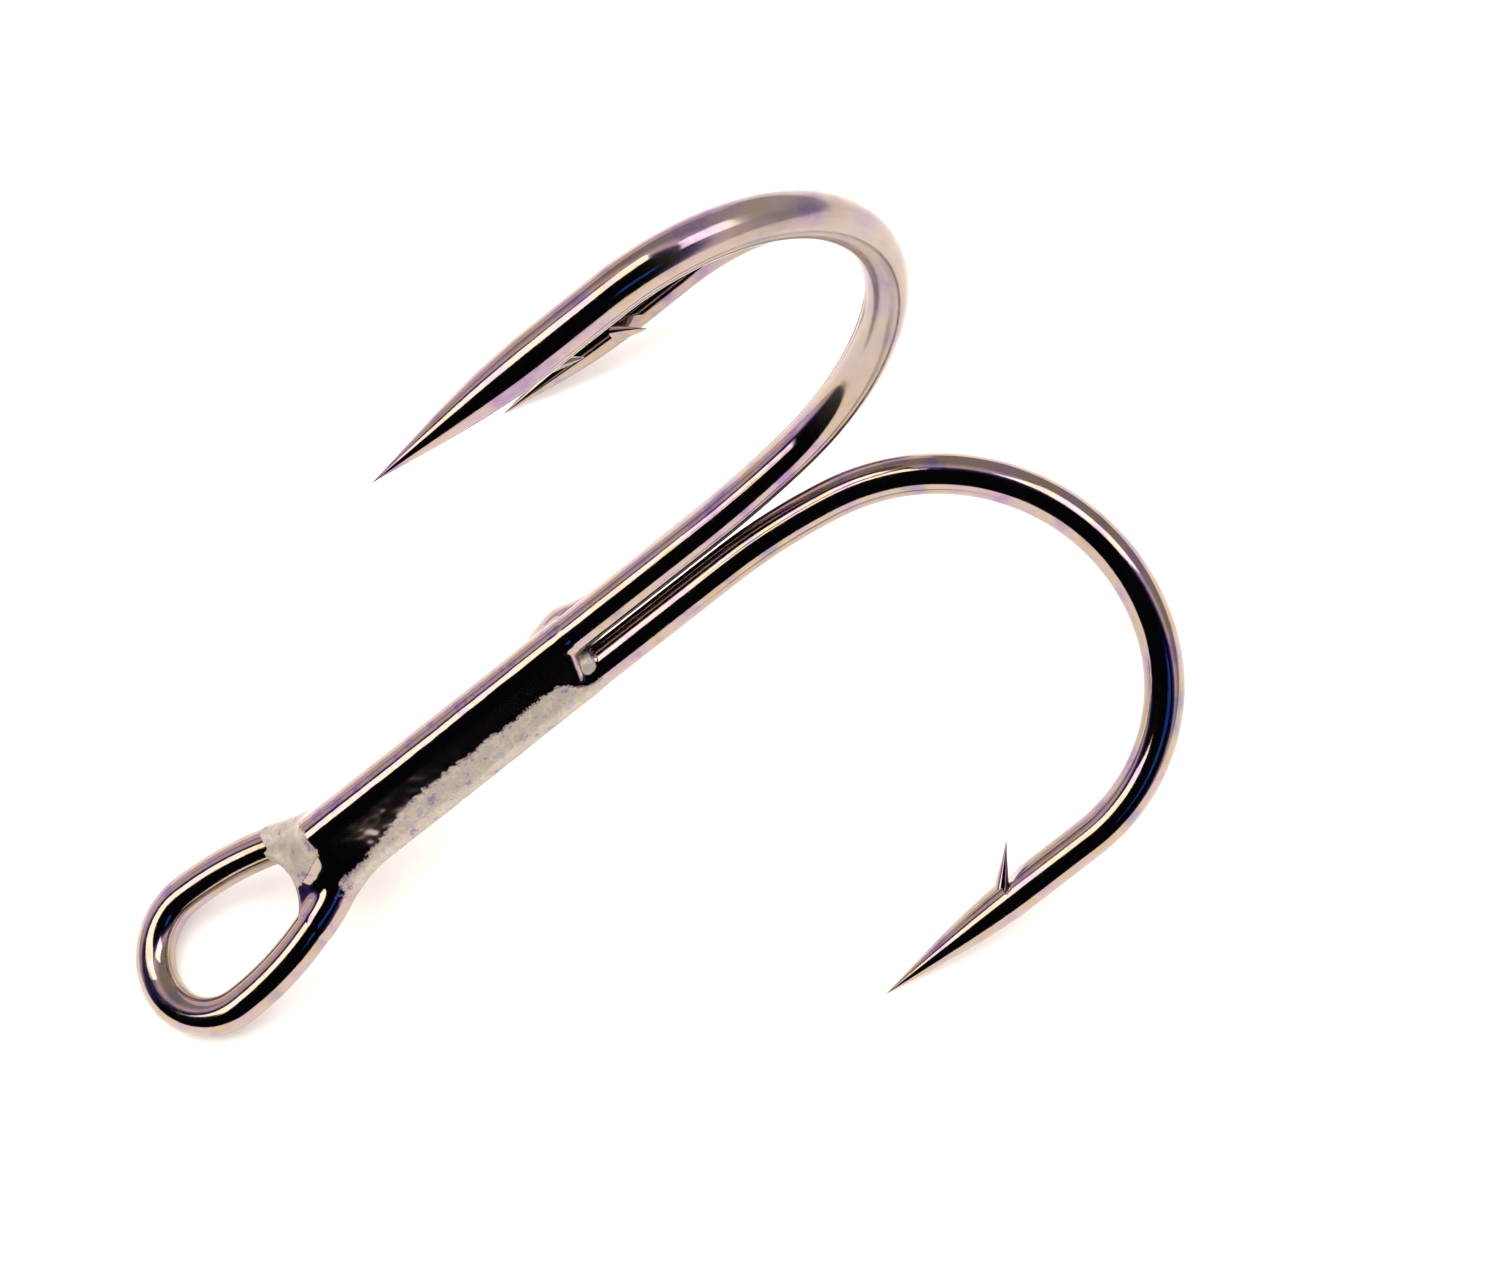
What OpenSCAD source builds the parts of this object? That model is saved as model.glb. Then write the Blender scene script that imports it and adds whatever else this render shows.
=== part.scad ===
// Treble hook: a double hook bent from one wire, and a single hook that lies in its
// groove, joined by braze. Millimetres. The part lies as it rests on a flat surface:
// +Z is up, +X runs along the shank from the eye to the bends, and the origin is the
// bottom centre of the bounding box. Inside, everything is drawn in a shank frame,
// with X along the shank, X = 0 at the throat of the eye, and the single hook upwards.

/* [Wire] */
// Diameter of the hook wire
wire_d = 1.6; // [1.5:0.05:1.7]
// Brazing clearance between the single hook and the leg that it leans on
braze_gap = 0.06; // [0.04:0.01:0.1]
// Chamfer on the cut end of the single hook
end_chamfer = 0.2; // [0.1:0.05:0.3]

/* [Bends] */
// Length of the straight legs, from the throat of the eye to the flare
leg_len = 19.5; // [17:0.5:23]
// Radius of the gentle flare that opens the hooks
flare_r = 25.5; // [22:0.5:28]
// Angle of the flare
flare_a = 11; // [9:1:13]
// Radius of the main bend
bend_r = 8.9; // [8:0.1:10]
// Angle of the main bend
bend_a = 98; // [94:1:101]
// Radius of the last, tighter bend
heel_r = 7.6; // [7:0.1:8.6]
// Angle of the last bend
heel_a = 70; // [67:1:72]
// Length of the double hook's straight limbs, which carry the points
limb_len = 10.3; // [9.6:0.1:11]
// Length of the single hook's limb, ground a little shorter
single_limb_len = 9.8; // [9.4:0.1:10.8]

/* [Point and barb] */
// Length of the ground point
point_len = 7; // [6:0.1:8]
// Distance from the tip of the point to the cut under the barb
barb_at = 6.45; // [6.3:0.05:6.6]
// Depth of the knife cut that raised the barb
barb_cut = 0.38; // [0.3:0.02:0.44]
// Height of the barb's tip above the wire
barb_h = 1.25; // [1:0.05:1.4]
// Angle between the barb's back face and the limb
barb_a = 50; // [46:1:54]

/* [Eye] */
// Distance between the centre lines of the double hook's legs
leg_pitch = 1.92; // [1.86:0.02:1.98]
// Radius of the eye's round far end, at the wire's centre line
eye_r = 2.72; // [2.6:0.02:2.9]
// Distance from the throat to the middle of the round far end
eye_len = 6.56; // [6.2:0.02:6.8]
// Sideways offset of the eye from the middle of the legs
eye_shift = 0.3; // [0:0.02:0.34]
// Radius of the outward bend between a leg and its side of the eye
throat_r = 5.5; // [5:0.1:6]
// Distance from the throat at which the front leg starts to bend out
front_start = 1.8; // [1.4:0.1:2]
// The same distance for the rear leg
rear_start = 0.8; // [0.6:0.1:1]

/* [Braze] */
// Sideways offset of the single hook, which leans on the far leg
lean = 0.16; // [0.1:0.01:0.2]
// Length of the braze run, from the throat towards the bends
braze_len = 12.6; // [10:0.2:15]
// Height of the crowned braze faces above the two wires' common tangent
crown = 0.05; // [0.04:0.01:0.07]
// Radius of the crowned braze faces
face_r = 3.4; // [3.2:0.1:3.6]
// Radius of the bead that ends each fillet
bead_r = 1.05; // [1:0.01:1.1]
// Distance from the throat to the hole, filled by the braze web
web_len = 2; // [1.9:0.05:2.2]
// Thickness of the braze web
web_t = 1.3; // [1.2:0.02:1.36]
// Radius of the web's hollow edge, which ends the hole bluntly
web_edge_r = 2.3; // [2.2:0.02:2.4]

/* [Hidden] */
$fn = 72;
POINT_BANDS = 16;
// every second stretch of wire is this much thinner, and is let this far into its
// neighbours, so that all the stretches join as one solid
STEP = 0.004;
INSET = 0.05;
wire_r = wire_d / 2;
leg_y = leg_pitch / 2;
// height of the double hook's legs, and of the single hook in their groove
leg_z = -0.35 * wire_d;
top_z = leg_z + sqrt(pow(wire_d + braze_gap, 2) - pow(leg_y - lean, 2));
// centres of the three wires in the bundle, in Y and Z
TOP = [lean, top_z];
REAR = [leg_y, leg_z];
FRONT = [-leg_y, leg_z];
eye_x = -eye_len - eye_r;
// how far each side of the eye stands out from its leg, and where its bend starts
FRONT_SIDE = [eye_r + eye_shift - leg_y, front_start];
REAR_SIDE = [eye_r - eye_shift - leg_y, rear_start];
// centre of the main bend, and tip of the point: along the shank and out from the leg
bend_x = leg_len + (flare_r - bend_r) * sin(flare_a);
bend_o = flare_r - (flare_r - bend_r) * cos(flare_a);
heel_start = flare_a + bend_a;
heel_end = heel_start + heel_a;
tip_x = bend_x + (bend_r - heel_r) * sin(heel_start) + heel_r * sin(heel_end)
    + limb_len * cos(heel_end);
tip_o = bend_o - (bend_r - heel_r) * cos(heel_start) - heel_r * cos(heel_end)
    + limb_len * sin(heel_end);
// at rest the far end of the eye and the two lower points touch the surface
rest_dx = tip_x - eye_x;
rest_dz = tip_o / 2;
rest_tilt = atan2(rest_dz, rest_dx) - asin(wire_r / norm([rest_dx, rest_dz]));
rest_z = wire_r - eye_x * sin(rest_tilt) - leg_z * cos(rest_tilt);
// ends of the bounding box along X: the eye, and the two lower bends
low_x = eye_x * cos(rest_tilt) - leg_z * sin(rest_tilt) - wire_r;
high_x = bend_x * cos(rest_tilt) + (bend_o / 2 - leg_z) * sin(rest_tilt)
    + bend_r * norm([cos(rest_tilt), sin(rest_tilt) / 2]) + wire_r;

// Radius of the ground point at a share of its length from the tip
function point_radius(share) = wire_r * sin(90 * pow(share, 1.1));

// The turn that brings a side of the eye in from its round end to its leg
function side_turn(side) = 2 * atan(side[0] / (eye_len + side[1]));

// Radius of a side of the eye, which closes towards the throat
function side_r(side) = (eye_len + side[1]) / sin(side_turn(side)) - throat_r;

// Distance from the X axis to the centre line of a side of the eye, ahead of its bend
function side_y(side, x) = leg_y + side[0] - side_r(side)
    + sqrt(pow(side_r(side), 2) - pow(x + eye_len, 2));

// Lays the shank frame down into the resting frame
module laid_down() {
    translate([-(low_x + high_x) / 2, 0, rest_z]) rotate([0, -rest_tilt, 0]) children();
}

// Turns children drawn in XY so that their Y points along Z, and their Z along -Y
module upright() {
    rotate([90, 0, 0]) children();
}

// Round bar along +X
module bar(r, len) {
    rotate([0, 90, 0]) cylinder(r = r, h = len);
}

// Straight wire along +X, let into its neighbours at both ends
module inset_wire(len) {
    translate([-INSET, 0, 0]) bar(wire_r - STEP, len + 2 * INSET);
}

// Wire that starts along +X and turns towards +Y
module wire_bend(r, a) {
    translate([0, r, 0]) rotate([0, 0, -90]) rotate_extrude(angle = a)
        translate([r, 0]) circle(r = wire_r);
}

// The same bend, let into its neighbours at both ends
module inset_bend(r, a) {
    extra = INSET / r * 180 / PI;
    translate([0, r, 0]) rotate([0, 0, -90 - extra]) rotate_extrude(angle = a + 2 * extra)
        translate([r, 0]) circle(r = wire_r - STEP);
}

// Places its children at the end of such a bend
module after_bend(r, a) {
    translate([r * sin(a), r - r * cos(a), 0]) rotate([0, 0, a]) children();
}

// Ground needle point along +X, with its base at the origin
module needle_point() {
    bands = [for (i = [POINT_BANDS:-1:0]) i / POINT_BANDS];
    rotate([0, 90, 0]) rotate_extrude()
        polygon(concat([[0, 0]], [for (s = bands) [point_radius(s), point_len * (1 - s)]]));
}

// Sliver that is raised as the barb, in XZ: the cut's bottom is at the origin, and the
// tip of the hook is towards +X. Seen along the wire it narrows upwards.
module barb_sliver() {
    rise = barb_cut + barb_h;
    back = rise / tan(barb_a);
    intersection() {
        upright() linear_extrude(wire_d, center = true)
            polygon([[0, 0], [0.3 * wire_d, 0], [0.1 * wire_d, barb_cut],
                [-back, rise], [-0.2, 0]]);
        rotate([0, 0, 90]) upright() linear_extrude(4 * wire_d, center = true)
            polygon([[-0.32 * wire_d, 0], [0.32 * wire_d, 0],
                [0.03, rise], [-0.03, rise]]);
    }
}

// Knife cut behind the barb, in the same frame
module barb_notch() {
    reach = 1.3 * (barb_h + barb_cut);
    back = reach / tan(barb_a);
    upright() linear_extrude(2 * wire_d, center = true)
        polygon([[0, 0], [-back, reach], [-back - 0.4, reach],
            [-0.95 * wire_d, barb_cut], [-0.35 * wire_d, 0.6 * barb_cut]]);
}

// Places its children at the bottom of the barb's cut, with their Z towards the shank
module at_barb(limb) {
    translate([limb - barb_at, wire_r - barb_cut, 0]) rotate([-90, 0, 0]) children();
}

// Straight limb with its ground point and barb, along +X
module pointed_limb(limb) {
    difference() {
        union() {
            inset_wire(limb - point_len);
            translate([limb - point_len, 0, 0]) needle_point();
            at_barb(limb) barb_sliver();
        }
        at_barb(limb) barb_notch();
    }
}

// Bends and point of one hook, from the end of its leg
module hook_end(limb) {
    translate([leg_len, 0, 0]) {
        wire_bend(flare_r, flare_a);
        after_bend(flare_r, flare_a) {
            inset_bend(bend_r, bend_a);
            after_bend(bend_r, bend_a) {
                wire_bend(heel_r, heel_a);
                after_bend(heel_r, heel_a) pointed_limb(limb);
            }
        }
    }
}

// One side of the eye, from its round end to the start of its leg's straight part,
// drawn on the side of +Y
module eye_side(side) {
    turn = side_turn(side);
    translate([-eye_len, leg_y + side[0], leg_z]) mirror([0, 1, 0]) {
        inset_bend(side_r(side), turn);
        after_bend(side_r(side), turn) mirror([0, 1, 0]) wire_bend(throat_r, turn);
    }
}

// The same side with its straight leg
module eye_side_and_leg(side) {
    eye_side(side);
    translate([side[1], leg_y, leg_z]) inset_wire(leg_len - side[1]);
}

// Half of the double hook: a side of the eye, a leg, and a hook 120 degrees from the top
module half_double(side) {
    eye_side_and_leg(side);
    translate([0, leg_y, leg_z]) rotate([-30, 0, 0]) hook_end(limb_len);
}

module double_hook() {
    color("#3a3638") laid_down() {
        translate([-eye_len, -eye_r - eye_shift, leg_z]) rotate([0, 0, 180])
            mirror([0, 1, 0]) wire_bend(eye_r, 180);
        half_double(REAR_SIDE);
        mirror([0, 1, 0]) half_double(FRONT_SIDE);
    }
}

module single_hook() {
    color("#4a4446") laid_down() translate([0, lean, top_z]) upright() {
        rotate([0, 90, 0]) cylinder(r1 = wire_r - end_chamfer, r2 = wire_r, h = end_chamfer);
        translate([end_chamfer, 0, 0]) inset_wire(leg_len - end_chamfer);
        hook_end(single_limb_len);
    }
}

// Wires in the bundle, with the single hook a little longer at both ends of the braze
module legs() {
    translate([-1, TOP[0], TOP[1]]) bar(wire_r, braze_len + 2);
    eye_side_and_leg(REAR_SIDE);
    mirror([0, 1, 0]) eye_side_and_leg(FRONT_SIDE);
}

// Rounded bead where two crossing round bars meet
module bead() {
    intersection() {
        translate([-2 * bead_r, 0, 0]) bar(bead_r, 4 * bead_r);
        rotate([90, 0, 0]) cylinder(r = bead_r + 0.01, h = 4 * bead_r, center = true);
    }
}

// Braze in the outer groove between two legs, which lies to the left of p towards q
module groove_fillet(p, q) {
    pitch = norm(q - p);
    turn = atan2(q[1] - p[1], q[0] - p[0]);
    run = braze_len - bead_r;
    difference() {
        translate([0, (p[0] + q[0]) / 2, (p[1] + q[1]) / 2]) rotate([turn, 0, 0])
            intersection() {
                union() {
                    translate([0, 0, wire_r + crown - face_r]) bar(face_r, run + INSET);
                    translate([run, 0, 0]) bead();
                }
                translate([0, -pitch / 2, 0]) cube([braze_len, pitch, wire_d]);
            }
        legs();
    }
}

module front_braze_fillet() {
    color("#9a9690") laid_down() groove_fillet(FRONT, TOP);
}

module rear_braze_fillet() {
    color("#8d8a86") laid_down() groove_fillet(TOP, REAR);
}

module under_braze_fillet() {
    color("#a5a29c") laid_down() groove_fillet(REAR, FRONT);
}

// Braze drawn into the space between the three legs
module braze_core() {
    color("#7f7c78") laid_down() difference() {
        rotate([90, 0, 90]) linear_extrude(braze_len - bead_r) polygon([TOP, REAR, FRONT]);
        legs();
    }
}

// Braze web between the sides of the eye as they part
module throat_web() {
    reach = web_len + 0.35 * web_edge_r;
    color("#b0ada6") laid_down() difference() {
        translate([0, 0, leg_z - web_t / 2]) linear_extrude(web_t)
            polygon([[0, -leg_y], [0, leg_y], [-reach, side_y(REAR_SIDE, -reach)],
                [-reach, -side_y(FRONT_SIDE, -reach)]]);
        translate([-web_len - web_edge_r, -eye_shift, leg_z - web_t])
            cylinder(r = web_edge_r, h = 2 * web_t);
        eye_side(REAR_SIDE);
        mirror([0, 1, 0]) eye_side(FRONT_SIDE);
    }
}

double_hook();
single_hook();
front_braze_fillet();
rear_braze_fillet();
under_braze_fillet();
braze_core();
throat_web();
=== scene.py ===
import math

import bpy
import numpy as np
import mathutils
from mathutils import Matrix, Vector


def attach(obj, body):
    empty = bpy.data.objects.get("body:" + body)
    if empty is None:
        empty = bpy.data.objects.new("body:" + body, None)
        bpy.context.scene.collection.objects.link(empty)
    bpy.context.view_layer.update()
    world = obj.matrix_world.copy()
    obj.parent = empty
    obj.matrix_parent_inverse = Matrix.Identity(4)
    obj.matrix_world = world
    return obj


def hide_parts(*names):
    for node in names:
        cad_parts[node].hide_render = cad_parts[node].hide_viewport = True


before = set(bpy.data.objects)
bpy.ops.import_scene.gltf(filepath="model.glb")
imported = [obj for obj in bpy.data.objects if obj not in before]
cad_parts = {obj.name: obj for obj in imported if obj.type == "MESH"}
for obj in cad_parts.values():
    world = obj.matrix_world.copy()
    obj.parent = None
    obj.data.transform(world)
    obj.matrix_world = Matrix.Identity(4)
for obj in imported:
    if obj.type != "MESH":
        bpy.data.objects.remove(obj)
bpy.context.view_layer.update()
BODY = "root"
MM = 0.001

# Driving dimensions, in millimetres and degrees, as in the part's own source
WIRE_D = 1.6
BRAZE_GAP = 0.06
LEG_LEN = 19.5
FLARE_R, FLARE_A = 25.5, 11.0
BEND_R, BEND_A = 8.9, 98.0
HEEL_R, HEEL_A = 7.6, 70.0
LIMB_LEN, SINGLE_LIMB_LEN = 10.3, 9.8
DOUBLE_AZIMUTH, SINGLE_AZIMUTH = -30.0, 90.0
POINT_LEN, POINT_CURVE = 7.0, 1.1
BARB_AT, BARB_CUT, BARB_H, BARB_A = 6.45, 0.38, 1.25, 50.0
CUT_REACH, CUT_CURVE = 0.95 * WIRE_D, 1.6
LEG_PITCH = 1.92
EYE_R, EYE_LEN, EYE_SHIFT = 2.72, 6.56, 0.3
THROAT_R = 5.5
FRONT_START, REAR_START = 1.8, 0.8
LEAN = 0.16
END_CHAMFER = 0.2
BRAZE_LEN = 12.6
WEB_LEN, WEB_T, WEB_EDGE_R = 2.0, 1.3, 2.3

WIRE_R = WIRE_D / 2
LEG_Y = LEG_PITCH / 2
LEG_Z = -0.35 * WIRE_D
TOP_Z = LEG_Z + math.sqrt((WIRE_D + BRAZE_GAP) ** 2 - (LEG_Y - LEAN) ** 2)
EYE_X = -EYE_LEN - EYE_R


class EyeSide:
    """One side of the eye: how far it stands out from its leg, and the bends that do it."""

    def __init__(self, shift, start):
        self.out = EYE_R + shift - LEG_Y
        self.start = start
        self.turn = 2 * math.atan(self.out / (EYE_LEN + start))
        self.side_r = (EYE_LEN + start) / math.sin(self.turn) - THROAT_R

    def y(self, x):
        """Distance of the side's centre line from the X axis, for an array of x."""
        t = np.clip(self.start - x, 0, THROAT_R * math.sin(self.turn))
        bend = LEG_Y + THROAT_R - np.sqrt(THROAT_R ** 2 - t ** 2)
        reach = np.clip(x + EYE_LEN, -self.side_r, self.side_r)
        side = LEG_Y + self.out - self.side_r + np.sqrt(self.side_r ** 2 - reach ** 2)
        return np.where(self.start - x > t, side, bend)


FRONT = EyeSide(EYE_SHIFT, FRONT_START)
REAR = EyeSide(-EYE_SHIFT, REAR_START)


# ---------------------------------------------------------------- wire centre lines

def plane_path(moves, start=(0.0, 0.0), heading=0.0, step=0.12):
    """Points of a flat path: a move is a length, or a (radius, angle) bend, left if positive."""
    x, y = start
    h = math.radians(heading)
    points = [(x, y)]
    for move in moves:
        if isinstance(move, tuple):
            radius, turn = move[0], math.radians(move[1])
            side = math.copysign(1, turn)
            cx = x - side * radius * math.sin(h)
            cy = y + side * radius * math.cos(h)
            count = max(4, math.ceil(radius * abs(turn) / step))
            for i in range(1, count + 1):
                a = h + turn * i / count
                points.append((cx + side * radius * math.sin(a),
                               cy - side * radius * math.cos(a)))
            h += turn
        else:
            count = max(1, math.ceil(move / step))
            for i in range(1, count + 1):
                points.append((x + math.cos(h) * move * i / count,
                               y + math.sin(h) * move * i / count))
        x, y = points[-1]
    return np.array(points)


def hook_path(leg_start, limb, leg_y, leg_z, azimuth):
    """Centre line of a hook from its leg's start to its tip, opening towards azimuth in YZ."""
    moves = [LEG_LEN - leg_start, (FLARE_R, FLARE_A), (BEND_R, BEND_A), (HEEL_R, HEEL_A), limb]
    flat = plane_path(moves, start=(leg_start, 0.0))
    a = math.radians(azimuth)
    return np.c_[flat[:, 0], leg_y + flat[:, 1] * math.cos(a), leg_z + flat[:, 1] * math.sin(a)]


def half_double_path(side):
    """From the middle of the eye's far end to the tip, on the side of +Y."""
    turn = math.degrees(side.turn)
    flat = plane_path([(EYE_R, -90.0), (side.side_r, -turn), (THROAT_R, turn)],
                      start=(EYE_X, LEG_Y + side.out - EYE_R), heading=90.0)
    eye = np.c_[flat, np.full(len(flat), LEG_Z)]
    return np.vstack([eye, hook_path(side.start, LIMB_LEN, LEG_Y, LEG_Z, DOUBLE_AZIMUTH)[1:]])


MIRROR_Y = np.array([1.0, -1.0, 1.0])
SINGLE_PATH = hook_path(0.0, SINGLE_LIMB_LEN, LEAN, TOP_Z, SINGLE_AZIMUTH)
REAR_PATH = half_double_path(REAR)
FRONT_PATH = half_double_path(FRONT) * MIRROR_Y
DOUBLE_PATH = np.vstack([FRONT_PATH[::-1], REAR_PATH[1:]])


# ---------------------------------------------------------------- resting pose

TIP_X = REAR_PATH[-1][0]
TIP_DROP = LEG_Z - REAR_PATH[-1][2]
TILT = (math.atan2(TIP_DROP, TIP_X - EYE_X)
        - math.asin(WIRE_R / math.hypot(TIP_DROP, TIP_X - EYE_X)))
REST_Z = WIRE_R - EYE_X * math.sin(TILT) - LEG_Z * math.cos(TILT)
LOW_X = EYE_X * math.cos(TILT) - LEG_Z * math.sin(TILT) - WIRE_R
HIGH_X = (DOUBLE_PATH @ np.array([math.cos(TILT), 0.0, -math.sin(TILT)])).max() + WIRE_R
REST_X = -(LOW_X + HIGH_X) / 2


def lay_down(points):
    """Shank frame in millimetres to the part's frame in metres."""
    p = np.asarray(points, float)
    c, s = math.cos(TILT), math.sin(TILT)
    return np.stack([p[..., 0] * c - p[..., 2] * s + REST_X, p[..., 1],
                     p[..., 0] * s + p[..., 2] * c + REST_Z], -1) * MM


# ---------------------------------------------------------------- blends

def smooth_min(a, b, k):
    """Smaller of two distances, blended over k."""
    h = np.clip(0.5 + 0.5 * (b - a) / k, 0, 1)
    return b + (a - b) * h - k * h * (1 - h)


def smooth_max(a, b, k):
    """Larger of two distances, blended over k."""
    return -smooth_min(-a, -b, k)


def ease(x, start, end):
    """0 on start's side, 1 on end's side, smooth between; start may be the larger."""
    t = np.clip((x - start) / (end - start), 0, 1)
    return t * t * (3 - 2 * t)


# ---------------------------------------------------------------- mesh helpers

def new_object(name, data):
    """A new object in the scene."""
    obj = bpy.data.objects.new(name, data)
    bpy.context.scene.collection.objects.link(obj)
    return obj


def place_axes(obj, right, up, back, spot):
    """Puts an object at a spot in metres, with its own X, Y and Z along these directions."""
    matrix = np.eye(4)
    matrix[:3] = np.c_[right, up, back, spot]
    obj.matrix_world = Matrix(matrix.tolist())


def link_mesh(name, vertices, faces, uvs=None):
    """A new smooth object of these vertices (shank frame) and faces."""
    mesh = bpy.data.meshes.new(name)
    mesh.from_pydata(lay_down(vertices).tolist(), [], faces)
    if uvs is not None:
        layer = mesh.uv_layers.new(name="wire")
        for loop in mesh.loops:
            layer.data[loop.index].uv = uvs[loop.vertex_index]
    mesh.shade_smooth()
    mesh.update()
    return new_object(name, mesh)


def add_attribute(obj, name, values):
    """A value at each point of the object's mesh, which its material reads by name."""
    layer = obj.data.attributes.new(name, "FLOAT", "POINT")
    layer.data.foreach_set("value", values.astype(np.float32))


# ---------------------------------------------------------------- hook wires

# Points in a wire's ring, a direction that no path starts along, how near to a tip the last
# ring may lie, and the place round the wire that end points and barbs take in the UV map
RING = 64
FIRST_SIDE = (0.0, 0.3, 1.0)
TIP_GAP = 0.004
MIDDLE_V = 0.5
# Barb: its front and rear curves before the peak, as (past the cut's start, height), half its
# width, how it narrows to the peak, how square its section is, and the height of its foot
BARB_FRONT = ((-0.75, 0.45), (0.05, 1.2 * WIRE_R))
BARB_REAR = ((-0.02, 0.1), (0.62, 1.0))
BARB_HALF_WIDTH, BARB_TAPER, BARB_SQUARE, BARB_FOOT = 0.52, 0.8, 0.8, 0.2
BARB_RINGS, BARB_RING = 20, 24
# Wear of the single hook: its most, and its rise past the leg and fall before the limb
WORN_MOST = 0.35
WORN_RISE, WORN_FALL = (6, 12), (6, 1)


def transport_frames(points):
    """Two normals at each point of a path, turned as little as possible along it."""
    tangents = np.gradient(points, axis=0)
    tangents /= np.linalg.norm(tangents, axis=1)[:, None]
    side = np.cross(tangents[0], FIRST_SIDE)
    sides = []
    for t in tangents:
        side = side - t * (side @ t)
        side /= np.linalg.norm(side)
        sides.append(side)
    sides = np.array(sides)
    return sides, np.cross(tangents, sides)


def point_radius(distance):
    """Radius of the wire at a distance from the hook's tip."""
    share = min(distance / POINT_LEN, 1.0)
    return WIRE_R * math.sin(math.radians(90 * share ** POINT_CURVE))


def sweep(points, radii):
    """Rings of a tube round a path, as an array of shape (stations, RING, 3)."""
    side, up = transport_frames(points)
    angle = np.arange(RING) * 2 * math.pi / RING
    wheel = (side[:, None, :] * np.cos(angle)[None, :, None]
             + up[:, None, :] * np.sin(angle)[None, :, None])
    return points[:, None, :] + wheel * np.asarray(radii)[:, None, None]


def refined(points, spots, step=0.03, reach=1.9):
    """The same path with closer points within reach of the given spots."""
    out = [points[0]]
    for a, b in zip(points[:-1], points[1:]):
        near = min(np.linalg.norm((a + b) / 2 - s) for s in spots) < reach
        count = max(1, math.ceil(np.linalg.norm(b - a) / step)) if near else 1
        for i in range(1, count + 1):
            out.append(a + (b - a) * i / count)
    return np.array(out)


def tube_faces(stations, ring, first_cap, last_cap):
    """Quads between rings of points, and triangles to the two points that close the ends."""
    faces = []
    for i in range(stations - 1):
        for j in range(ring):
            k = (j + 1) % ring
            faces.append((i * ring + j, i * ring + k, (i + 1) * ring + k, (i + 1) * ring + j))
    last = (stations - 1) * ring
    for j in range(ring):
        k = (j + 1) % ring
        faces.append((k, j, first_cap))
        faces.append((last + j, last + k, last_cap))
    return faces


class Limb:
    """A hook's straight limb: its tip, the direction back from the tip, and the inner side."""

    def __init__(self, path, leg_y, leg_z):
        self.tip = path[-1]
        self.back = path[-2] - path[-1]
        self.back /= np.linalg.norm(self.back)
        inner = np.array([0.0, leg_y, leg_z]) - self.tip
        inner -= self.back * (inner @ self.back)
        self.inner = inner / np.linalg.norm(inner)
        self.across = np.cross(self.back, self.inner)
        self.root = self.tip + self.back * BARB_AT

    def place(self, p, q, w):
        """A point p back from the tip, q towards the shank and w across."""
        return self.tip + self.back * p + self.inner * q + self.across * w


def cut_height(p):
    """Height left on the wire's inner side at p, from the knife cut up to the full wire."""
    t = (p - BARB_AT) / CUT_REACH
    return WIRE_R - BARB_CUT + BARB_CUT * (1 - (1 - t) ** CUT_CURVE)


def notch(rings, centres, limb, off_line=0.1):
    """Flattens the limb's rings behind the barb down to the knife cut."""
    for i, centre in enumerate(centres):
        p = (centre - limb.tip) @ limb.back
        off = np.linalg.norm(centre - limb.tip - limb.back * p)
        if off <= off_line and BARB_AT <= p <= BARB_AT + CUT_REACH:
            over = np.maximum((rings[i] - centre) @ limb.inner - cut_height(p), 0)
            rings[i] -= over[:, None] * limb.inner


def bezier(a, b, c, t):
    """Point on a quadratic curve."""
    return [(1 - t) ** 2 * u + 2 * t * (1 - t) * v + t * t * w for u, v, w in zip(a, b, c)]


def barb_shell(limb):
    """Closed spike of the barb, raised from its root to its peak: (vertices, faces)."""
    low, high = WIRE_R - BARB_CUT, WIRE_R + BARB_H
    peak = (BARB_AT + (high - low) / math.tan(math.radians(BARB_A)), high)
    front = [(BARB_AT + p, q) for p, q in BARB_FRONT] + [peak]
    rear = [(BARB_AT + p, q) for p, q in BARB_REAR] + [peak]
    vertices = []
    for i in range(BARB_RINGS):
        t = i / BARB_RINGS
        f, r = bezier(*front, t), bezier(*rear, t)
        mid = [(f[k] + r[k]) / 2 for k in (0, 1)]
        half = [(f[k] - r[k]) / 2 for k in (0, 1)]
        width = BARB_HALF_WIDTH * (1 - t) ** BARB_TAPER
        for j in range(BARB_RING):
            a = 2 * math.pi * j / BARB_RING
            u = math.copysign(abs(math.cos(a)) ** BARB_SQUARE, math.cos(a))
            vertices.append(limb.place(mid[0] + half[0] * u, mid[1] + half[1] * u,
                                       width * math.sin(a)))
    vertices.append(limb.place(*peak, 0.0))
    vertices.append(limb.place((front[0][0] + rear[0][0]) / 2, BARB_FOOT, 0.0))
    count = len(vertices)
    return vertices, tube_faces(BARB_RINGS, BARB_RING, count - 1, count - 2)


def worn_share(along, total):
    """How worn the plating is along the single hook: its bend is rubbed dull, its leg is not."""
    limb_start = total - SINGLE_LIMB_LEN
    begun = ease(along, LEG_LEN + WORN_RISE[0], LEG_LEN + WORN_RISE[1])
    ended = ease(along, limb_start - WORN_FALL[0], limb_start - WORN_FALL[1])
    return WORN_MOST * begun * (1 - ended)


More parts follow.
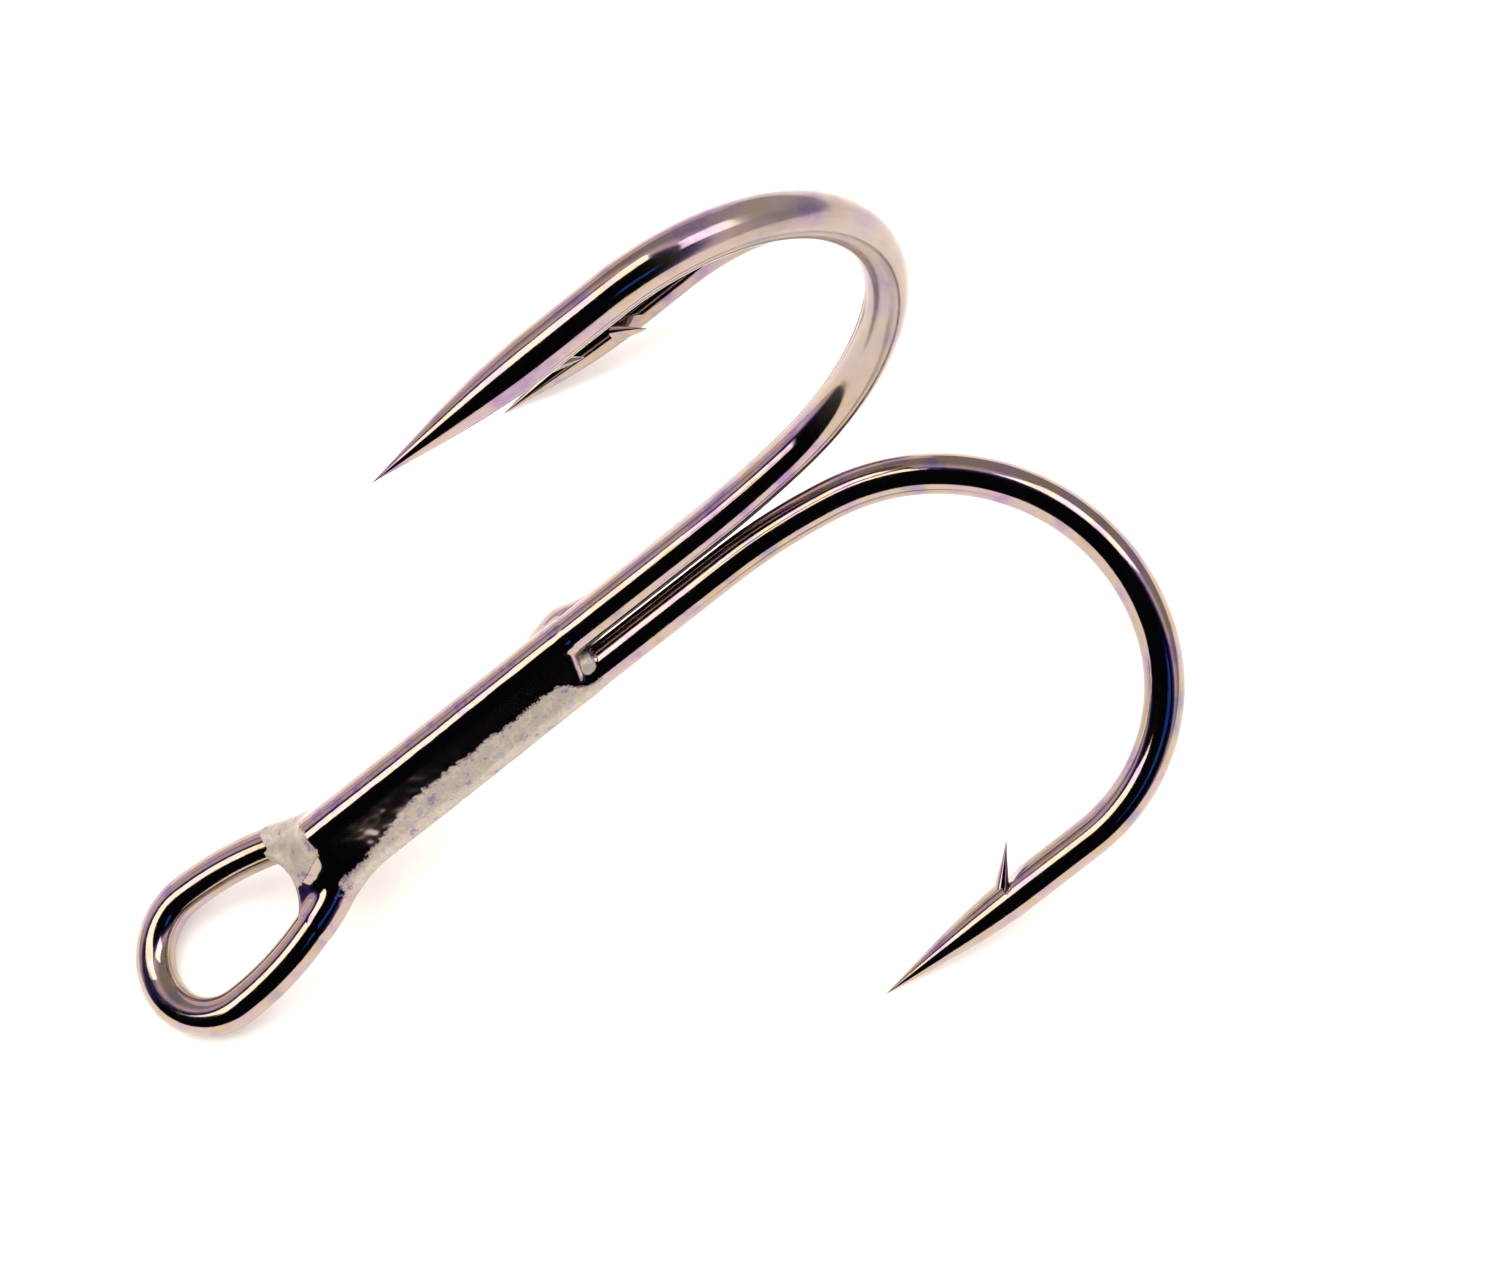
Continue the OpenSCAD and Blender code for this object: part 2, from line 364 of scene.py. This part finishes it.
def hook_wire(name, path, limbs, cut_end):
    """Visible wire of a hook: swept tube, ground points, barb cuts and barbs.

    The path starts at a chamfered cut end if cut_end is true, and at a point if not.
    The UV map holds millimetres along the wire and the share of the way round it.
    """
    centres = refined(path, [limb.root for limb in limbs] + [limb.tip for limb in limbs])
    along = np.r_[0, np.cumsum(np.linalg.norm(np.diff(centres, axis=0), axis=1))]
    to_tip = along[-1] - along if cut_end else np.minimum(along, along[-1] - along)
    keep = to_tip > TIP_GAP
    keep[0] = cut_end
    ringed, ringed_along = centres[keep], along[keep]
    radii = [point_radius(distance) for distance in to_tip[keep]]
    if cut_end:
        radii = [r - max(0.0, END_CHAMFER - s) for r, s in zip(radii, ringed_along)]
    rings = sweep(ringed, radii)
    for limb in limbs:
        notch(rings, ringed, limb)
    vertices = rings.reshape(-1, 3).tolist() + [centres[0].tolist(), centres[-1].tolist()]
    count = len(vertices)
    faces = tube_faces(len(ringed), RING, count - 2, count - 1)
    uvs = [(s, j / RING) for s in ringed_along for j in range(RING)]
    uvs += [(along[0], MIDDLE_V), (along[-1], MIDDLE_V)]
    for limb in limbs:
        spike, spike_faces = barb_shell(limb)
        base = len(vertices)
        vertices += [v.tolist() for v in spike]
        faces += [tuple(base + i for i in face) for face in spike_faces]
        uvs += [(along[-1] - BARB_AT, MIDDLE_V)] * len(spike)
    obj = link_mesh(name, vertices, faces, uvs)
    if cut_end:
        add_attribute(obj, "worn", worn_share(np.array([uv[0] for uv in uvs]), along[-1]))
    return obj


# ---------------------------------------------------------------- braze

# Skin over the wires: thickness, depth of its sunk ends, where along X it rises and falls, the
# middle and half of its length, and where it rounds off at the single hook's cut end
SKIN, SUNK = 0.03, 0.03
SKIN_RISE, SKIN_FALL = (-2.5, -1.9), (BRAZE_LEN - 0.6, BRAZE_LEN + 1.6)
SKIN_MIDDLE, SKIN_HALF = 5.9, 8.35
NOSE_X = 0.3
# Swelling of the skin on the rear leg where the grooves end
SWELL_X, SWELL_HEIGHT, SWELL_WIDTH = BRAZE_LEN + 0.2, 0.34, 1.0
# Web in the eye's throat, and the slope of braze down to it from the single hook's end
WEB_HALF = WEB_T / 2
SLOPE_SPAN = (-1.9, 0.1)
# The crest over the single hook is fuller and rounder near the throat, and nearer to the front
CREST_SHIFT, CREST_GROWTH, CREST_ROUND = 0.10, 0.5, 0.8
CREST_FADE = (4.0, 12.5)
CREST_WAY = (-0.92, -0.40)
# The upper faces end past BRAZE_LEN, and the front one ends sooner at its leg
FACE_PASS, FACE_SLANT = 0.6, 0.7
# Widths of the blends, with those between faces and wires softer at the end and the throat
SHARP, FRONT_END_BLEND, END_BLEND, HOLE_BLEND, DROP_BLEND = 0.001, 0.4, 0.3, 0.25, 0.1
WIRE_BLEND, FAR_BLEND, THROAT_BLEND = 0.004, 0.08, 0.12
FAR_SPAN, THROAT_SPAN = (BRAZE_LEN - 0.3, BRAZE_LEN + 0.3), (0.6, -0.4)
# Drop of braze on the front leg where its groove ends, and the dimple before it
DROP_X, DROP_R, DROP_OUT = BRAZE_LEN + 0.35, 0.42, (0.08, 0.62)
DIMPLE_X, DIMPLE_R, DIMPLE_OUT = BRAZE_LEN - 0.45, 0.33, (0.45, 1.22)
DROP_STRETCH = 1.3
# Grid of the mesh, and the lumps of metal that set a little uneven: scale and height
GRID_LOW, GRID_HIGH, GRID_CELL = (-2.7, -3.4, -2.1), (14.6, 3.0, 2.2), 0.085
PROJECTIONS = 3
LUMP_SCALE, LUMP_HEIGHT = 1.1, 0.007
FINE_SCALE, FINE_HEIGHT, FINE_OFFSET = 3.1, 0.003, (7, 3, 1)
# Satin flank, whose lighter tint is also a painted reflection of the pale floor: the azimuth that
# the front face looks to, the flank's edge across that face, half the width over which the edge
# fades, and how the edge climbs near the throat and the far end
FACE_AZIMUTH = 113.7
FLANK_EDGE, EDGE_SOFT, FLANK_SPAN = 0.79, 0.25, (-1.2, 0.6)
THROAT_CLIMB, THROAT_CLIMB_SPAN = 0.75, (4.5, 0.5)
FAR_CLIMB, FAR_CLIMB_SPAN = 0.8, (BRAZE_LEN - 1.2, BRAZE_LEN + 0.1)
# The rest that is satin, with its lighter tint partly a painted reflection of the pale floor: what
# faces away, the web, and the drop
AWAY_SPAN = (-0.1, -0.4)
WEB_SATIN_AND_REFLECTION_X, WEB_SATIN_AND_REFLECTION_Y = (0.25, -0.15), (-0.95, -0.6)
DROP_SATIN_AND_REFLECTION = (DROP_R + 0.12, DROP_R - 0.02)


def outward_lean(side, x, step=1e-3):
    """Angle at which a side of the eye runs out from the X axis, for an array of x."""
    return np.arctan((side.y(x - step) - side.y(x + step)) / (2 * step))


def wire_skins(x, y, z, front, rear):
    """Distance to the skin of braze over the two legs and the single hook."""
    skin = -SUNK + (SUNK + SKIN) * (ease(x, *SKIN_RISE) * (1 - ease(x, *SKIN_FALL)))
    swell = SWELL_HEIGHT * np.exp(-((x - SWELL_X) / SWELL_WIDTH) ** 2)
    front_gap = np.hypot((y - front) * np.cos(outward_lean(FRONT, x)), z - LEG_Z)
    rear_gap = np.hypot((y - rear) * np.cos(outward_lean(REAR, x)), z - LEG_Z)
    nose = np.minimum(x - NOSE_X, 0)
    top_gap = np.sqrt((y - LEAN) ** 2 + (z - TOP_Z) ** 2 + nose ** 2)
    on_legs = np.minimum(front_gap - WIRE_R - skin, rear_gap - WIRE_R - skin - swell)
    return np.minimum(on_legs, top_gap - WIRE_R - skin)


def strip_distance(y, z, a, b, radius):
    """Distance in a section to a strip from centre a to centre b, and the share along it."""
    dy, dz = b[0] - a[0], b[1] - a[1]
    t = np.clip(((y - a[0]) * dy + (z - a[1]) * dz) / (dy * dy + dz * dz), 0, 1)
    return np.hypot(y - a[0] - t * dy, z - a[1] - t * dz) - radius, t


def groove_faces(x, y, z, front, rear):
    """Distance to the braze that fills the three grooves between the wires, and to the web."""
    shift = CREST_SHIFT * (1 - ease(x, *CREST_FADE))
    sink = ease(x, *SLOPE_SPAN)
    crest = LEG_Z + (TOP_Z - LEG_Z) * sink
    radius = WEB_HALF + (WIRE_R + SKIN - WEB_HALF) * sink
    front_leg, rear_leg = (front, LEG_Z), (rear, LEG_Z)
    front_crest = (LEAN + CREST_WAY[0] * shift, crest + CREST_WAY[1] * shift)
    front_face, t = strip_distance(y, z, front_crest, front_leg, radius + CREST_GROWTH * shift)
    front_end = x - BRAZE_LEN - FACE_PASS + FACE_SLANT * t
    front_face = smooth_max(front_face, front_end, FRONT_END_BLEND)
    rear_face, _ = strip_distance(y, z, (LEAN, crest), rear_leg, radius)
    rear_face = smooth_max(rear_face, x - BRAZE_LEN - FACE_PASS, END_BLEND)
    under, _ = strip_distance(y, z, front_leg, rear_leg, radius)
    under = smooth_max(under, x - BRAZE_LEN, END_BLEND)
    upper = smooth_min(front_face, rear_face, SHARP + CREST_ROUND * shift)
    hole = WEB_EDGE_R - np.hypot(x + WEB_LEN + WEB_EDGE_R, y + EYE_SHIFT)
    return smooth_max(np.minimum(upper, under), hole, HOLE_BLEND)


def drop_distance(x, y, z, front, at, out, radius):
    """Distance, roughly, to a long drop placed at x and out in (y, z) from the front leg."""
    return np.sqrt(((x - at) / DROP_STRETCH) ** 2 + (y - front - out[0]) ** 2
                   + (z - LEG_Z - out[1]) ** 2) - radius


def braze_field(x, y, z):
    """Signed distance, roughly, to the braze and the skin that it draws over the wires."""
    front, rear = -FRONT.y(x), REAR.y(x)
    blend = (WIRE_BLEND + FAR_BLEND * ease(x, *FAR_SPAN)
             + THROAT_BLEND * ease(x, *THROAT_SPAN))
    field = smooth_min(groove_faces(x, y, z, front, rear), wire_skins(x, y, z, front, rear), blend)
    dimple = drop_distance(x, y, z, front, DIMPLE_X, DIMPLE_OUT, DIMPLE_R)
    drop = drop_distance(x, y, z, front, DROP_X, DROP_OUT, DROP_R)
    field = smooth_min(smooth_max(field, -dimple, DROP_BLEND), drop, DROP_BLEND)
    return np.maximum(field, np.abs(x - SKIN_MIDDLE) - SKIN_HALF)


def field_normals(points, step=0.01):
    """Field values, unit gradients and the gradients' lengths at points."""
    x, y, z = points.T
    grad = np.stack([braze_field(x + step, y, z) - braze_field(x - step, y, z),
                     braze_field(x, y + step, z) - braze_field(x, y - step, z),
                     braze_field(x, y, z + step) - braze_field(x, y, z - step)], -1) / (2 * step)
    size = np.linalg.norm(grad, axis=1)
    return braze_field(x, y, z), grad / size[:, None], size


def surface_net(low, high, cell):
    """Quad mesh of the zero level of the braze field on a grid: (vertices, faces)."""
    counts = [int(math.ceil((h - l) / cell)) + 1 for l, h in zip(low, high)]
    axes = [l + cell * np.arange(n) for l, n in zip(low, counts)]
    grid = np.stack(np.meshgrid(*axes, indexing="ij"), -1)
    value = braze_field(*[g.ravel() for g in np.moveaxis(grid, -1, 0)]).reshape(counts)
    inside = value < 0
    corners_in = np.zeros([n - 1 for n in counts], int)
    crossings = np.zeros(corners_in.shape)
    place = np.zeros(corners_in.shape + (3,))
    corners = [(i, j, k) for i in (0, 1) for j in (0, 1) for k in (0, 1)]
    units = np.eye(3, dtype=int)

    def view(array, corner):
        """The array's values at one corner of every cell."""
        i, j, k = corner
        cells = corners_in.shape
        return array[i:i + cells[0], j:j + cells[1], k:k + cells[2]]

    for corner in corners:
        corners_in += view(inside, corner)
    for a in corners:
        for axis in range(3):
            if a[axis]:
                continue
            va, vb = view(value, a), view(value, np.array(a) + units[axis])
            cross = (va < 0) != (vb < 0)
            share = np.where(cross, va / np.where(cross, va - vb, 1), 0)
            spot = view(grid, a) + share[..., None] * cell * units[axis]
            place += np.where(cross[..., None], spot, 0)
            crossings += cross
    used = (corners_in > 0) & (corners_in < 8)
    index = np.full(corners_in.shape, -1)
    index[used] = np.arange(used.sum())
    vertices = place[used] / crossings[used][:, None]
    faces = []
    for axis in range(3):
        du, dv = units[(axis + 1) % 3], units[(axis + 2) % 3]
        a = inside[tuple(slice(0, n - s) for n, s in zip(counts, units[axis]))]
        b = inside[tuple(slice(s, n) for n, s in zip(counts, units[axis]))]
        for at in np.argwhere(a != b):
            quad = [index[tuple(at - du - dv)], index[tuple(at - dv)],
                    index[tuple(at)], index[tuple(at - du)]]
            faces.append(quad if a[tuple(at)] else quad[::-1])
    return vertices, faces


def lumps(points, scale, offset=(0, 0, 0)):
    """Smooth noise at points."""
    return np.array([mathutils.noise.noise(Vector(p) * scale + Vector(offset)) for p in points])


def satin_and_reflection_share(points, normal):
    """How satin the braze is, and so where its lighter tint paints the pale floor's reflection:
    its upper faces are bright, its front flank and underside not.
    """
    x, y, z = points.T
    a = math.radians(FACE_AZIMUTH)
    across = -y * math.sin(a) + z * math.cos(a)
    facing = normal[:, 1] * math.cos(a) + normal[:, 2] * math.sin(a)
    edge = (FLANK_EDGE + THROAT_CLIMB * ease(x, *THROAT_CLIMB_SPAN)
            + FAR_CLIMB * ease(x, *FAR_CLIMB_SPAN))
    flank = np.clip((across - edge + EDGE_SOFT) / (2 * EDGE_SOFT), 0, 1) * ease(x, *FLANK_SPAN)
    away = ease(facing, *AWAY_SPAN)
    web = ease(x, *WEB_SATIN_AND_REFLECTION_X) * ease(y, *WEB_SATIN_AND_REFLECTION_Y)
    centre = np.array([DROP_X, DROP_OUT[0] - LEG_Y, DROP_OUT[1] + LEG_Z])
    drop = ease(np.linalg.norm(points - centre, axis=1), *DROP_SATIN_AND_REFLECTION)
    return np.maximum(np.maximum(flank, away), np.maximum(web, drop))


def braze_skin(name):
    """The one run of braze over the shank and throat, as a closed smooth surface."""
    vertices, faces = surface_net(GRID_LOW, GRID_HIGH, GRID_CELL)
    for _ in range(PROJECTIONS):
        value, normal, size = field_normals(vertices)
        vertices = vertices - normal * (value / size)[:, None]
    height = (LUMP_HEIGHT * lumps(vertices, LUMP_SCALE)
              + FINE_HEIGHT * lumps(vertices, FINE_SCALE, FINE_OFFSET))
    vertices = vertices + normal * height[:, None]
    obj = link_mesh(name, vertices, faces)
    # Share of satin braze, which also marks where a lighter tint paints the pale floor's
    # reflection
    add_attribute(obj, "satin_and_painted_reflection", satin_and_reflection_share(vertices, normal))
    return obj


# ---------------------------------------------------------------- materials

# Most of a noise texture's values lie in NOISE_MIDDLE
NOISE_MIDDLE = (0.3, 0.7)
PLATING_TINTS = [(0.32, (0.25, 0.17, 0.29)), (0.43, (0.34, 0.26, 0.30)),
                 (0.51, (0.36, 0.30, 0.27)), (0.59, (0.36, 0.28, 0.21)),
                 (0.70, (0.23, 0.21, 0.29))]
WORN_TINTS = [(0.34, (0.12, 0.09, 0.19)), (0.44, (0.26, 0.22, 0.25)),
              (0.54, (0.36, 0.32, 0.29)), (0.64, (0.30, 0.29, 0.23))]
# Satin tints are lighter than the plating's: partly the satin braze's own tone, partly a painted
# reflection of the pale floor
SATIN_AND_PAINTED_REFLECTION_TINTS = [(0.37, (0.22, 0.18, 0.26)), (0.43, (0.44, 0.36, 0.34)),
               (0.49, (0.33, 0.34, 0.27)), (0.55, (0.50, 0.41, 0.35)),
               (0.63, (0.32, 0.33, 0.34))]
PAPER_TINTS = [(0.3, (0.90, 0.89, 0.87)), (0.7, (0.93, 0.92, 0.90))]
WIRE_ROUGHNESS, WORN_ROUGHNESS, WORN_METALLIC = (0.04, 0.12), 0.30, 0.45
BRIGHT_ROUGHNESS, SATIN_ROUGHNESS, SATIN_METALLIC = 0.07, 0.42, 0.5
RAGGED_EDGE, SATIN_AND_PAINTED_REFLECTION_CUT = 0.27, (0.36, 0.64)


def nodes_of(name):
    """A new material with a Principled shader: (material, nodes, links, shader)."""
    material = bpy.data.materials.new(name)
    material.use_nodes = True
    tree = material.node_tree
    return material, tree.nodes, tree.links, tree.nodes["Principled BSDF"]


def attribute(nodes, name):
    """The value that a mesh holds at its points under this name, or 0."""
    a = nodes.new("ShaderNodeAttribute")
    a.attribute_name = name
    return a.outputs["Fac"]


def stretched(nodes, links, vector, scale):
    """A vector socket with each axis scaled."""
    m = nodes.new("ShaderNodeMapping")
    m.inputs["Scale"].default_value = scale
    links.new(vector, m.inputs["Vector"])
    return m.outputs["Vector"]


def noise(nodes, links, vector, scale, detail, roughness=0.55):
    """Noise texture on a vector socket."""
    n = nodes.new("ShaderNodeTexNoise")
    n.inputs["Scale"].default_value = scale
    n.inputs["Detail"].default_value = detail
    n.inputs["Roughness"].default_value = roughness
    links.new(vector, n.inputs["Vector"])
    return n.outputs["Fac"]


def ramp(nodes, links, value, stops):
    """Colour ramp with stops of (position, colour)."""
    r = nodes.new("ShaderNodeValToRGB")
    elements = r.color_ramp.elements
    while len(elements) < len(stops):
        elements.new(0.5)
    for element, (position, colour) in zip(elements, stops):
        element.position = position
        element.color = (*colour, 1.0)
    links.new(value, r.inputs["Fac"])
    return r.outputs["Color"]


def mapped(nodes, links, value, low, high, span=(0.0, 1.0)):
    """Maps the span's ends to low and high, and holds them outside it."""
    m = nodes.new("ShaderNodeMapRange")
    m.inputs["From Min"].default_value, m.inputs["From Max"].default_value = span
    m.inputs["To Min"].default_value = low
    m.inputs["To Max"].default_value = high
    links.new(value, m.inputs["Value"])
    return m.outputs["Result"]


def maths(nodes, links, operation, *terms):
    """Math node whose terms are sockets or plain numbers."""
    m = nodes.new("ShaderNodeMath")
    m.operation = operation
    for socket, term in zip(m.inputs, terms):
        if isinstance(term, float):
            socket.default_value = term
        else:
            links.new(term, socket)
    return m.outputs["Value"]


def bump(nodes, links, height, distance, strength, below=None):
    """Bump of a height socket; distance in metres."""
    b = nodes.new("ShaderNodeBump")
    b.inputs["Distance"].default_value = distance
    b.inputs["Strength"].default_value = strength
    links.new(height, b.inputs["Height"])
    if below is not None:
        links.new(below, b.inputs["Normal"])
    return b.outputs["Normal"]


def mixed(nodes, links, share, first, second):
    """Colour that goes from the first to the second with share."""
    tint = nodes.new("ShaderNodeMix")
    tint.data_type = "RGBA"
    links.new(share, tint.inputs["Factor"])
    links.new(first, tint.inputs["A"])
    links.new(second, tint.inputs["B"])
    return tint.outputs["Result"]


def black_nickel():
    """Polished wire under black nickel: dark mirror with stains, drawn lines and a worn part."""
    material, nodes, links, shader = nodes_of("black_nickel_wire")
    place = nodes.new("ShaderNodeTexCoord")
    spot, along = place.outputs["Object"], place.outputs["UV"]
    worn = attribute(nodes, "worn")
    stains = noise(nodes, links, spot, scale=520, detail=4)
    haze = noise(nodes, links, spot, scale=2600, detail=3)
    fine_lines = stretched(nodes, links, along, (0.25, 60, 1))
    broad_lines = stretched(nodes, links, along, (0.18, 7, 1))
    drawn = noise(nodes, links, fine_lines, scale=1.0, detail=2)
    streaks = noise(nodes, links, broad_lines, scale=1.0, detail=3)
    tint = mixed(nodes, links, worn, ramp(nodes, links, stains, PLATING_TINTS),
                 ramp(nodes, links, streaks, WORN_TINTS))
    smudge = mapped(nodes, links, haze, *WIRE_ROUGHNESS, span=NOISE_MIDDLE)
    rough = maths(nodes, links, "MULTIPLY_ADD", worn, WORN_ROUGHNESS, smudge)
    grain = bump(nodes, links, haze, distance=0.000004, strength=0.5)
    lines = bump(nodes, links, drawn, distance=0.000003, strength=0.35, below=grain)
    links.new(tint, shader.inputs["Base Color"])
    links.new(rough, shader.inputs["Roughness"])
    links.new(mapped(nodes, links, worn, 1.0, WORN_METALLIC), shader.inputs["Metallic"])
    links.new(lines, shader.inputs["Normal"])
    return material


def braze_metal():
    """Braze under the same plating: bright on its upper faces, satin and pitted elsewhere, where a
    lighter tint also paints the pale floor's reflection.
    """
    material, nodes, links, shader = nodes_of("plated_braze")
    spot = nodes.new("ShaderNodeTexCoord").outputs["Object"]
    ragged = noise(nodes, links, spot, scale=4200, detail=6, roughness=0.7)
    blotch = noise(nodes, links, spot, scale=1500, detail=6, roughness=0.7)
    speckle = noise(nodes, links, spot, scale=5200, detail=4, roughness=0.65)
    shake = mapped(nodes, links, ragged, -RAGGED_EDGE, RAGGED_EDGE, span=NOISE_MIDDLE)
    share = maths(nodes, links, "ADD", attribute(nodes, "satin_and_painted_reflection"), shake)
    # Satin braze is rougher and less metallic, and its lighter tint is partly a painted reflection
    # of the pale floor
    satin_and_painted_reflection = mapped(nodes, links, share, 0.0, 1.0, span=SATIN_AND_PAINTED_REFLECTION_CUT)
    tint = mixed(nodes, links, satin_and_painted_reflection, ramp(nodes, links, blotch, PLATING_TINTS),
                 ramp(nodes, links, blotch, SATIN_AND_PAINTED_REFLECTION_TINTS))
    rough = mapped(nodes, links, satin_and_painted_reflection, BRIGHT_ROUGHNESS, SATIN_ROUGHNESS)
    relief = maths(nodes, links, "MULTIPLY", speckle, satin_and_painted_reflection)
    pits = bump(nodes, links, relief, distance=0.00004, strength=0.7)
    links.new(tint, shader.inputs["Base Color"])
    links.new(rough, shader.inputs["Roughness"])
    links.new(mapped(nodes, links, satin_and_painted_reflection, 1.0, SATIN_METALLIC), shader.inputs["Metallic"])
    links.new(pits, shader.inputs["Normal"])
    return material


def floor_paper():
    """White matte paper."""
    material, nodes, links, shader = nodes_of("white_paper")
    spot = nodes.new("ShaderNodeTexCoord").outputs["Object"]
    fibre = noise(nodes, links, spot, scale=900, detail=4)
    links.new(ramp(nodes, links, fibre, PAPER_TINTS), shader.inputs["Base Color"])
    shader.inputs["Roughness"].default_value = 0.9
    return material


# ---------------------------------------------------------------- camera and studio

VIEW_AZIMUTH, VIEW_ELEVATION, VIEW_ROLL = 21.78, 64.64, 10.37
VIEW_DISTANCE = 0.08967
VIEW_LENS, VIEW_SENSOR = 57.74, 36.0
VIEW_CLIP_START, VIEW_CLIP_END = 0.001, 20.0
AIM = (0.0059, -0.00493, 0.01184)
FLOOR_HALF = 4.0
WARM_WHITE = (1.0, 0.96, 0.88)
# Softboxes: name, direction, distance, size, power, colour, and whether a mirror shows it
SOFTBOXES = (
    ("overhead", (-0.40, 0.14, 0.90), 1.0, (0.95, 0.46), 4.6, (1.0, 0.93, 0.82), True),
    ("back_wall", (-0.1, 1.0, 0.15), 1.5, (2.4, 0.8), 4.4, (1.0, 0.76, 0.95), True),
    ("window", (0.47, -0.30, 0.82), 1.0, (0.45, 0.55), 2.1, WARM_WHITE, True),
    ("blue_panel", (-0.06, -0.79, 0.61), 1.0, (0.30, 0.16), 0.09, (0.04, 0.2, 1.0), True),
    ("sky", (0.05, -0.02, 1.0), 1.5, (3.0, 3.0), 68.0, WARM_WHITE, False))
DARK_SIDE = (-0.66, -0.56, 0.50)
ROOM_TINTS = [(0.0, (0.50, 0.44, 0.45)), (0.32, (1.20, 0.94, 1.12)),
              (0.46, (0.07, 0.05, 0.24)), (0.60, (0.004, 0.004, 0.006))]


def view_axes():
    """Forward, right and up of the camera, with its roll."""
    az, el = math.radians(VIEW_AZIMUTH), math.radians(VIEW_ELEVATION)
    forward = np.array([math.sin(az) * math.cos(el), math.cos(az) * math.cos(el), -math.sin(el)])
    right = np.cross(forward, [0.0, 0.0, 1.0])
    right /= np.linalg.norm(right)
    up = np.cross(right, forward)
    c, s = math.cos(math.radians(VIEW_ROLL)), math.sin(math.radians(VIEW_ROLL))
    return forward, right * c - up * s, up * c + right * s


def add_camera():
    """The scene's camera, at the photograph's viewing angle."""
    data = bpy.data.cameras.new("camera")
    data.lens = VIEW_LENS
    data.sensor_width = VIEW_SENSOR
    data.clip_start = VIEW_CLIP_START
    data.clip_end = VIEW_CLIP_END
    camera = new_object("camera", data)
    forward, right, up = view_axes()
    place_axes(camera, right, up, -forward, np.array(AIM) - forward * VIEW_DISTANCE)
    bpy.context.scene.camera = camera


def add_floor():
    """A square sheet of white paper under the part."""
    mesh = bpy.data.meshes.new("floor")
    corners = [(-1, -1), (1, -1), (1, 1), (-1, 1)]
    mesh.from_pydata([(x * FLOOR_HALF, y * FLOOR_HALF, 0) for x, y in corners], [], [(0, 1, 2, 3)])
    floor = new_object("floor", mesh)
    floor.data.materials.append(floor_paper())


def add_softbox(name, towards, distance, size, power, colour, seen):
    """Area light of (width along X, height) at a distance in a direction, facing the part."""
    data = bpy.data.lights.new(name, "AREA")
    data.shape = "RECTANGLE"
    data.size, data.size_y = size
    data.energy = power
    data.color = colour
    light = new_object(name, data)
    back = np.array(towards, float)
    back /= np.linalg.norm(back)
    right = np.array([1.0, 0.0, 0.0]) - back * back[0]
    right /= np.linalg.norm(right)
    place_axes(light, right, np.cross(back, right), back, back * distance)
    light.visible_glossy = seen


def add_world():
    """A pale room that is dark where the viewer stands."""
    world = bpy.data.worlds.new("studio")
    bpy.context.scene.world = world
    world.use_nodes = True
    nodes, links = world.node_tree.nodes, world.node_tree.links
    side = nodes.new("ShaderNodeVectorMath")
    side.operation = "DOT_PRODUCT"
    side.inputs[1].default_value = DARK_SIDE
    links.new(nodes.new("ShaderNodeTexCoord").outputs["Generated"], side.inputs[0])
    shade = ramp(nodes, links, side.outputs["Value"], ROOM_TINTS)
    links.new(shade, nodes["Background"].inputs["Color"])
    nodes["Background"].inputs["Strength"].default_value = 1.0


# ---------------------------------------------------------------- build

REAR_LIMB = Limb(REAR_PATH, LEG_Y, LEG_Z)
FRONT_LIMB = Limb(FRONT_PATH, -LEG_Y, LEG_Z)
TOP_LIMB = Limb(SINGLE_PATH, LEAN, TOP_Z)
PLATING = black_nickel()
BRAZE = braze_metal()

add_camera()
add_floor()
add_world()
for softbox in SOFTBOXES:
    add_softbox(*softbox)
bpy.context.scene.view_settings.view_transform = "Standard"

double_wire = hook_wire("double_hook_wire", DOUBLE_PATH, [REAR_LIMB, FRONT_LIMB], cut_end=False)
single_wire = hook_wire("single_hook_wire", SINGLE_PATH, [TOP_LIMB], cut_end=True)
skin = braze_skin("braze_run")
for piece, slot, material, nodes in (
        (double_wire, "hook_wire", PLATING, ["double_hook"]),
        (single_wire, "hook_wire", PLATING, ["single_hook"]),
        (skin, "braze", BRAZE, ["front_braze_fillet", "rear_braze_fillet",
                                "under_braze_fillet", "braze_core", "throat_web"])):
    piece.data.materials.append(material)
    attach(piece, BODY)
    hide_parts(*nodes)
